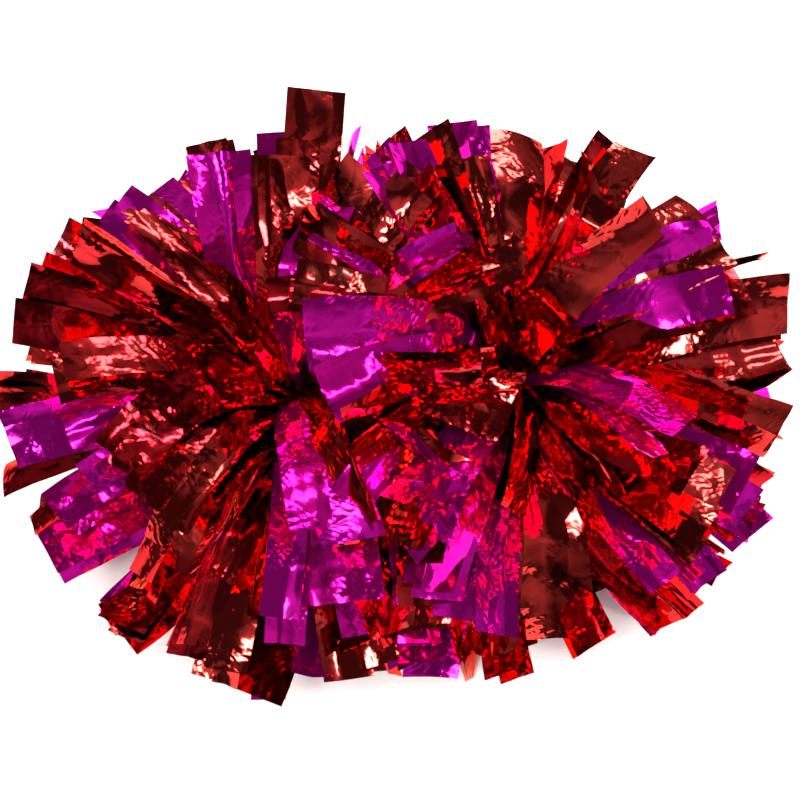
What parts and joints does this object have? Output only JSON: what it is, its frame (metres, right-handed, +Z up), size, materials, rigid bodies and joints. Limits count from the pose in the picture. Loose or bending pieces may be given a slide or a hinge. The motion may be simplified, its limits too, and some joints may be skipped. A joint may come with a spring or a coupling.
{
  "type": "cheer pom pom",
  "caption": "Cheer pom pom: a ball of shiny red and magenta film strands in two tufts, one at each end of a hidden baton handle.",
  "frame": {"origin": "on the floor, under the middle of the baton", "axes": "+X along the baton, from the left tuft to the right tuft; +Z up, along the axes of the baton's eyes"},
  "size_m": [0.3704, 0.2744, 0.2056],
  "materials": {
    "film_red": "crumpled metallised mirror film",
    "film_pink": "crumpled metallised mirror film",
    "baton_plastic": "satin moulded",
    "tie_nylon": "satin moulded"
  },
  "bodies": {
    "baton": {"baton_handle": "baton_plastic"},
    "right_tuft": {"right_red_fringe_01": "film_red", "right_pink_fringe_01": "film_pink", "right_red_fringe_02": "film_red", "right_red_fringe_03": "film_red", "right_pink_fringe_02": "film_pink", "right_red_fringe_04": "film_red", "right_pink_fringe_03": "film_pink", "right_red_fringe_05": "film_red", "right_red_fringe_06": "film_red", "right_pink_fringe_04": "film_pink", "right_red_fringe_07": "film_red", "right_pink_fringe_05": "film_pink", "right_red_fringe_08": "film_red", "right_red_fringe_09": "film_red", "right_pink_fringe_06": "film_pink", "right_red_fringe_10": "film_red", "right_upper_cable_tie": "tie_nylon", "right_lower_cable_tie": "tie_nylon"},
    "left_tuft": {"left_red_fringe_01": "film_red", "left_pink_fringe_01": "film_pink", "left_red_fringe_02": "film_red", "left_red_fringe_03": "film_red", "left_pink_fringe_02": "film_pink", "left_red_fringe_04": "film_red", "left_pink_fringe_03": "film_pink", "left_red_fringe_05": "film_red", "left_red_fringe_06": "film_red", "left_pink_fringe_04": "film_pink", "left_red_fringe_07": "film_red", "left_pink_fringe_05": "film_pink", "left_red_fringe_08": "film_red", "left_red_fringe_09": "film_red", "left_pink_fringe_06": "film_pink", "left_red_fringe_10": "film_red", "left_upper_cable_tie": "tie_nylon", "left_lower_cable_tie": "tie_nylon"}
  },
  "joints": [
    {"name": "right_tuft_twist", "type": "hinge", "parent": "baton", "child": "right_tuft", "pos_m": [0.048, 0, 0.09], "axis": [0, 0, 1], "range_deg": [-12, 12]},
    {"name": "left_tuft_twist", "type": "hinge", "parent": "baton", "child": "left_tuft", "pos_m": [-0.048, 0, 0.09], "axis": [0, 0, 1], "range_deg": [-12, 12]}
  ]
}
